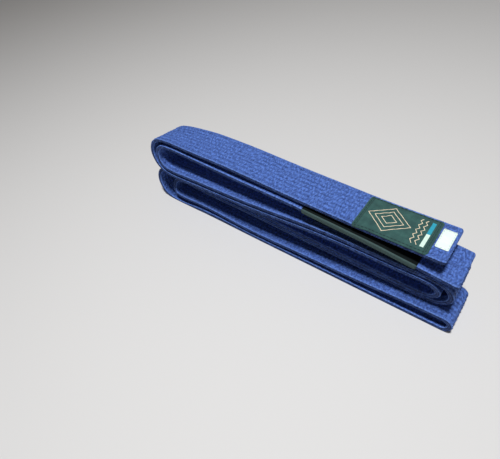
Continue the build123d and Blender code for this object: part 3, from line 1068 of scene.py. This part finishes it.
def sewn_patch(name, node, slot_name, material, bounds, thickness, hem, drape, corner_radius, hangs):
    """Label sewn on the label end's upper face; drape is how much it shows the quilting under it."""
    s_low, s_high, v_low, v_high = bounds
    rows = max(2, round((s_high - s_low) / PATCH_STEP)) + 1
    columns = max(2, round((v_high - v_low) / PATCH_STEP)) + 1
    s, flat_v = np.meshgrid(
        np.linspace(s_low, s_high, rows), np.linspace(v_low, v_high, columns), indexing="ij"
    )
    corner = np.clip(corner_radius - np.minimum(s - s_low, s_high - s), 0, corner_radius)
    squeeze = 1 - (corner_radius - np.sqrt(corner_radius**2 - corner**2)) / ((v_high - v_low) / 2)
    middle_v = (v_low + v_high) / 2
    v, down = lying(s, (flat_v - middle_v) * squeeze + middle_v, s_high if hangs else None)
    border = np.minimum.reduce([s - s_low, s_high - s, flat_v - v_low, v_high - flat_v])
    sewn = bell(border - hem, SEAM_REACH)
    level = HALF_PLY + PUFF
    bed = level + drape * (face_height(s, v, 1) - level)
    body = thickness * (PATCH_RIM + (1 - PATCH_RIM) * rounded(border, PATCH_ROUND))
    upper = place(s, v, bed + body - SEAM_SINK * sewn - down)
    lower = place(s, v, bed - PATCH_BEDDING - down)

    index = np.arange(rows * columns).reshape(rows, columns)
    quads = np.stack([index[:-1, :-1], index[:-1, 1:], index[1:, 1:], index[1:, :-1]], axis=-1)
    quads = quads.reshape(-1, 4)
    rim = np.concatenate([index[0, :], index[1:, -1], index[-1, -2::-1], index[-2:0:-1, 0]])
    flat = np.stack([(s - s_low).ravel(), (flat_v - v_low).ravel()], axis=-1) / MM
    no_wear_or_highlight = np.zeros(len(flat))
    # The seam's pull also sets the painted shade along the seam
    piece = lined_piece(name, upper, lower, quads, [rim], flat, material, sewn.ravel(), no_wear_or_highlight)
    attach(stand_for(piece, slot_name, node), "label_end")


def patch_stitching(name, node, slot_name, material, bounds, hem, rise, hangs):
    """Stitches that hold a label down: rows along the strip, and rows across it."""
    s_low, s_high, v_low, v_high = bounds
    s_ends, v_ends = (s_low + hem, s_high - hem), (v_low + hem, v_high - hem)
    step = LABEL_STITCH_PITCH
    along = [(s + step / 2, v) for s in np.arange(*s_ends, step) for v in v_ends]
    crosswise = [(s, v + step / 2) for v in np.arange(*v_ends, step) for s in s_ends]
    for suffix, seats in (("lengthwise", along), ("crosswise", crosswise)):
        s, v = np.array(seats).T
        v, down = lying(s, v, s_high if hangs else None)
        seats = np.stack([s, v, HALF_PLY + rise - down, np.ones_like(s)], axis=-1)
        piece = sewn_piece(f"{name}_{suffix}", seats, material, LABEL_STITCH, suffix == "lengthwise")
        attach(stand_for(piece, slot_name, node), "label_end")


patch_bounds, tag_bounds = LABELS
patch_size = ((patch_bounds[1] - patch_bounds[0]) / MM, (patch_bounds[3] - patch_bounds[2]) / MM)
# Colours: ground, its shade, the pattern's lines, and the bar's two tones
label_weave = patch_weave(
    "label_weave", (0.026, 0.085, 0.078), (0.014, 0.045, 0.046), (0.70, 0.60, 0.44),
    ((0.60, 0.78, 0.70), (0.02, 0.30, 0.42)), patch_size,
)
PATCH_HEM, TAG_HEM = 2.0 * MM, 1.0 * MM
sewn_patch(
    "woven_patch", "brand_label", "label_weave", label_weave, patch_bounds,
    thickness=0.55 * MM, hem=PATCH_HEM, drape=0.45, corner_radius=2.4 * MM, hangs=True,
)
patch_stitching(
    "patch_stitching", "brand_label_stitching", "label_thread", label_thread, patch_bounds,
    hem=PATCH_HEM, rise=0.62 * MM, hangs=True,
)
sewn_patch(
    "size_tag", "size_label", "size_satin", size_satin, tag_bounds,
    thickness=0.35 * MM, hem=TAG_HEM, drape=0.12, corner_radius=0.5 * MM, hangs=False,
)
patch_stitching(
    "tag_stitching", "size_label_stitching", "size_thread", size_thread, tag_bounds,
    hem=TAG_HEM, rise=0.45 * MM, hangs=False,
)


# -------------------- rank bar
BAR_STEP = 1.5 * MM
BAR_CORNERS = 7
# Sleeve's outer and inner surface: gaps beside and above the strip, and corner radius
BAR_OUTER = (0.75 * MM, 0.80 * MM, 1.3 * MM)
BAR_INNER = (0.10 * MM, 0.15 * MM, 0.6 * MM)
# Slight waves of its faces: height, and lengths along and across the strip
BAR_WAVE, BAR_WAVE_ALONG, BAR_WAVE_ACROSS = 0.06, 6.3 * MM, 5 * MM
# Its rolled ends: reach, and share of the thickness at the very end
BAR_ROLL, BAR_RIM = 0.9 * MM, 0.25
# Its stitch rows: distance from its ends and its edges, and height above the strip
BAR_HEM, BAR_ROW_START, BAR_ROW_END, BAR_STITCH_RISE = 2.0 * MM, 2 * MM, 1 * MM, 0.62 * MM
# Width of the sleeve's long edges that are painted paler, partly wear and partly painted highlight
BAR_WEAR_AND_HIGHLIGHT = 1.0 * MM


def bar_profile(side_gap, face_gap, radius):
    """Rounded outline of the sleeve: points across and up, upper face first."""
    half_width, half_height = HALF_WIDTH + side_gap, HALF_PLY + face_gap
    points = [(v, half_height) for v in np.arange(-half_width + radius, half_width - radius, BAR_STEP)]
    for first, up in ((90, half_height - radius), (0, radius - half_height)):
        for corner in range(BAR_CORNERS):
            turn = math.radians(first - 90 * corner / (BAR_CORNERS - 1))
            across_place = half_width - radius + radius * math.cos(turn)
            points.append((across_place, up + radius * math.sin(turn)))
    return np.array(points + [(-v, -h) for v, h in points])


def sleeve_seats(s_low, s_high):
    """Places of the stitches across both faces of the sleeve, near its ends."""
    seats = []
    for row_s in (s_low + BAR_HEM, s_high - BAR_HEM):
        for v in np.arange(-HALF_WIDTH + BAR_ROW_START, HALF_WIDTH - BAR_ROW_END, LABEL_STITCH_PITCH):
            for side in (1, -1):
                seats.append((row_s, v, HALF_PLY + BAR_STITCH_RISE, side))
    return seats


def sleeve():
    """Cloth sleeve round the rank end, open at both ends, with a thickness of its own."""
    low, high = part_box("rank_bar")
    s_low, s_high = s_of(low.x, "rank"), s_of(high.x, "rank")
    rows = round((s_high - s_low) / BAR_STEP) + 1
    s = np.linspace(s_low, s_high, rows)[:, None]
    outer, inner = bar_profile(*BAR_OUTER), bar_profile(*BAR_INNER)
    border = np.minimum(s - s_low, s_high - s)
    share = BAR_RIM + (1 - BAR_RIM) * rounded(border, BAR_ROLL)
    skin = inner[None] + (outer - inner)[None] * share[..., None]
    skin[..., 1] *= 1 + BAR_WAVE * np.sin(s / BAR_WAVE_ALONG) * np.cos(outer[:, 0] / BAR_WAVE_ACROSS)
    skin[..., 1] -= np.sign(skin[..., 1]) * SEAM_SINK * bell(border - BAR_HEM, SEAM_REACH)
    outside = place(s, skin[..., 0], skin[..., 1])
    inside = place(s, inner[:, 0] + 0 * s, inner[:, 1] + 0 * s)

    size = len(outer)
    first_rim = np.arange(size)
    last_rim = first_rim[::-1] + (rows - 1) * size
    flat = np.stack(np.broadcast_arrays(s, distances_along(outer)), axis=-1).reshape(-1, 2) / MM
    # Its long edges are painted paler: partly wear, partly painted highlight
    beside = np.abs(outer[:, 0])
    wear_and_highlight = np.tile((beside > beside.max() - BAR_WEAR_AND_HIGHLIGHT).astype(float), rows)
    piece = lined_piece(
        "rank_sleeve", outside, inside, ring_faces(rows, size), [first_rim, last_rim], flat,
        bar_cotton, np.zeros(len(flat)), wear_and_highlight,
    )
    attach(stand_for(piece, "bar_cotton", "rank_bar"), "rank_end")

    seats = sleeve_seats(s_low, s_high)
    threads = sewn_piece("sleeve_stitching", seats, bar_thread, LABEL_STITCH, lengthwise=False)
    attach(stand_for(threads, "bar_thread", "rank_bar_stitching"), "rank_end")


sleeve()


# -------------------- floor, light and camera
FLOOR_SIZE = 6.0
FLOOR_DROP = 0.2 * MM
FLOOR_ROUGHNESS = 0.9
# Scale and grey levels of the floor's faint clouds
FLOOR_CLOUDS, FLOOR_GREYS = 3.0, (0.60, 0.64)


def floor_material():
    material = bpy.data.materials.new("pale_floor")
    material.use_nodes = True
    tree = material.node_tree
    shader = tree.nodes["Principled BSDF"]
    set_inputs(shader, {"Roughness": FLOOR_ROUGHNESS})
    noise = tree.nodes.new("ShaderNodeTexNoise")
    set_inputs(noise, {"Scale": FLOOR_CLOUDS})
    ramp = tree.nodes.new("ShaderNodeMapRange")
    set_inputs(ramp, {"To Min": FLOOR_GREYS[0], "To Max": FLOOR_GREYS[1]})
    tree.links.new(noise.outputs["Fac"], ramp.inputs["Value"])
    tree.links.new(ramp.outputs[0], shader.inputs["Base Color"])
    return material


half = FLOOR_SIZE / 2
corners = [(x, y, -FLOOR_DROP) for x, y in ((-half, -half), (half, -half), (half, half), (-half, half))]
mesh = bpy.data.meshes.new("floor")
mesh.from_pydata(corners, [], [(0, 1, 2, 3)])
mesh.materials.append(floor_material())
new_object("floor", mesh)

# Lights: place from the stack's middle in metres, diameter, power in watts and colour
KEY_LIGHT = ("key", (0.16, -0.21, 1.20), 0.20, 18, (1, 1, 1))
FILL_LIGHT = ("fill", (0.9, -1.3, 0.7), 1.2, 0.3, (0.85, 0.92, 1.0))
STUDIO_COLOUR, STUDIO_STRENGTH = (1.0, 0.90, 0.82, 1), 0.11


def area_light(name, offset, size, power, tint):
    """Round light that shines on the stack's middle."""
    stack_middle = (cad_low + cad_high) / 2
    data = bpy.data.lights.new(name, "AREA")
    data.shape = "DISK"
    data.size = size
    data.energy = power
    data.color = tint
    light = new_object(name, data)
    light.location = stack_middle + Vector(offset)
    light.rotation_euler = (-Vector(offset)).to_track_quat("-Z", "Y").to_euler()


area_light(*KEY_LIGHT)
area_light(*FILL_LIGHT)

world = bpy.data.worlds.new("studio")
world.use_nodes = True
background = world.node_tree.nodes["Background"]
set_inputs(background, {"Color": STUDIO_COLOUR, "Strength": STUDIO_STRENGTH})
bpy.context.scene.world = world
bpy.context.scene.view_settings.view_transform = "Standard"
bpy.context.scene.view_settings.look = "None"

# Where the camera stands; how far it is turned from +Y towards +X, tipped down and rolled
CAMERA_PLACE = Vector((22.13, -230.19, 330.84)) * MM
CAMERA_TURN, CAMERA_DOWN, CAMERA_ROLL = -45.618, 46.990, -10.867
CAMERA_LENS, CAMERA_SENSOR, CAMERA_CLIP = 28.8, 36.0, 0.01

lens = bpy.data.cameras.new("camera")
lens.lens = CAMERA_LENS
lens.sensor_width = CAMERA_SENSOR
lens.clip_start = CAMERA_CLIP
camera = new_object("camera", lens)
turned = Matrix.Rotation(math.radians(-CAMERA_TURN), 3, "Z")
tipped = Matrix.Rotation(math.radians(90 - CAMERA_DOWN), 3, "X")
rolled = Matrix.Rotation(math.radians(CAMERA_ROLL), 3, "Z")
camera.matrix_world = Matrix.LocRotScale(CAMERA_PLACE, turned @ tipped @ rolled, None)
bpy.context.scene.camera = camera
